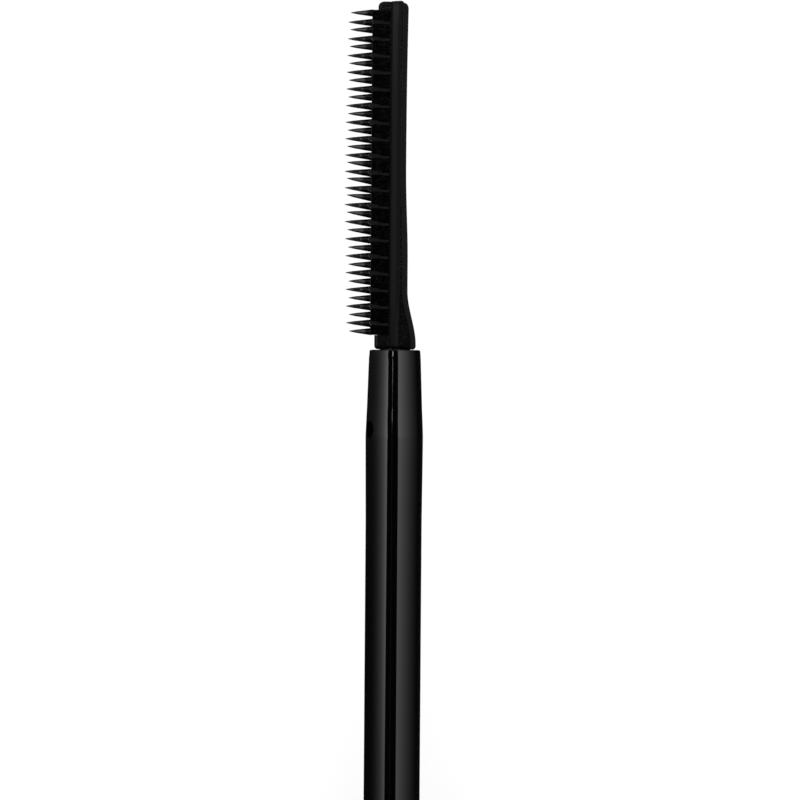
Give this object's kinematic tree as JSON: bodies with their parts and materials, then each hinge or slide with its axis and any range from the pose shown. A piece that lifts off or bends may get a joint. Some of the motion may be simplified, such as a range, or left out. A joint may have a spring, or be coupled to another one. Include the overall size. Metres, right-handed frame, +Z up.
{
  "type": "mascara",
  "caption": "Opened round mascara: wand with a one-sided comb brush and a screw cap, drawn out of its tube along one centre line.",
  "frame": {"origin": "centre of the bounding box on the surface that the mascara lies on", "axes": "+X along the centre line from the tube's base to the cap's end, +Z up, comb teeth towards -Y"},
  "size_m": [0.219, 0.0174, 0.0174],
  "materials": {
    "core_black": "satin moulded black nylon",
    "bristle_elastomer": "smooth black elastomer, slightly glossy",
    "stem_gloss": "polished black",
    "case_gloss": "polished black",
    "insert_black": "moulded black",
    "weight_steel": "turned steel",
    "trim_metal": "dark anodised, fine turned lines",
    "liner_foam": "white foamed liner",
    "vial_black": "moulded black",
    "wiper_soft": "natural translucent polyethylene"
  },
  "bodies": {
    "tube": {"tube_sleeve": "case_gloss", "inner_vial": "vial_black", "base_plug": "case_gloss", "wiper": "wiper_soft"},
    "collar": {"shoulder_ring": "trim_metal"},
    "wand": {"brush_core": "core_black", "bristle_strip": "bristle_elastomer", "stem": "stem_gloss", "cap_shell": "case_gloss", "cap_insert": "insert_black", "cap_weight": "weight_steel", "cap_end_disc": "trim_metal", "gasket": "liner_foam"}
  },
  "joints": [
    {"name": "cap_twist", "type": "hinge", "parent": "tube", "child": "collar", "pos_m": [0, 0, 0.00868], "axis": [-1, 0, 0], "range_deg": [0, 450]},
    {"name": "wand_slide", "type": "slide", "parent": "collar", "child": "wand", "axis": [-1, 0, 0], "range_m": [0, 0.0859], "deforming": ["wiper"]}
  ]
}
